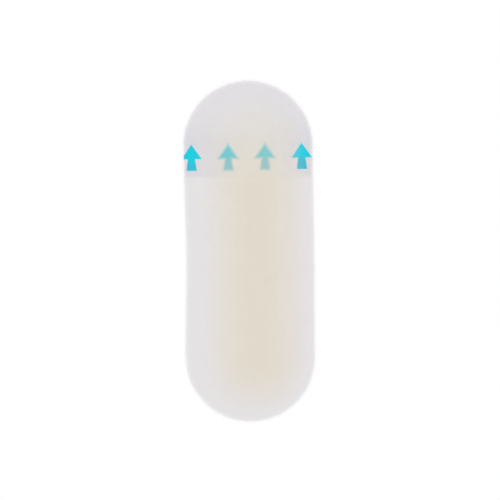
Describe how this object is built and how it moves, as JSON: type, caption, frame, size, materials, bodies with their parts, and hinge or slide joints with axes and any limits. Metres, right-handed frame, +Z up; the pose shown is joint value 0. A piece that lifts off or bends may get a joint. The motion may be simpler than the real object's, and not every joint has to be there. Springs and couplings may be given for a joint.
{
  "type": "hydrocolloid blister plaster",
  "caption": "Round-ended gel plaster for blisters: a translucent cushion under a thin clear film, on overlapping release liners printed with a row of arrows.",
  "frame": {"origin": "middle of the footprint, on the surface that the liners lie on", "axes": "+Y along the plaster towards the end with the arrows, +X across it, +Z up through the gel to the film"},
  "size_m": [0.0202, 0.053, 0.0012],
  "materials": {
    "long_liner_film": "white translucent release film with a silky face",
    "short_liner_film": "pale lavender-grey translucent release film with a silky face",
    "cyan_ink": "bright cyan printed ink, slightly mottled",
    "hydrocolloid_gel": "soft translucent gel, near white where thin and pale beige where thick",
    "clear_backing_film": "thin clear polyurethane film with a fine matt texture"
  },
  "bodies": {
    "root": {"long_liner": "long_liner_film", "short_liner": "short_liner_film", "printed_arrow_1": "cyan_ink", "printed_arrow_2": "cyan_ink", "printed_arrow_3": "cyan_ink", "printed_arrow_4": "cyan_ink", "gel_cushion": "hydrocolloid_gel", "backing_film": "clear_backing_film"}
  },
  "joints": []
}
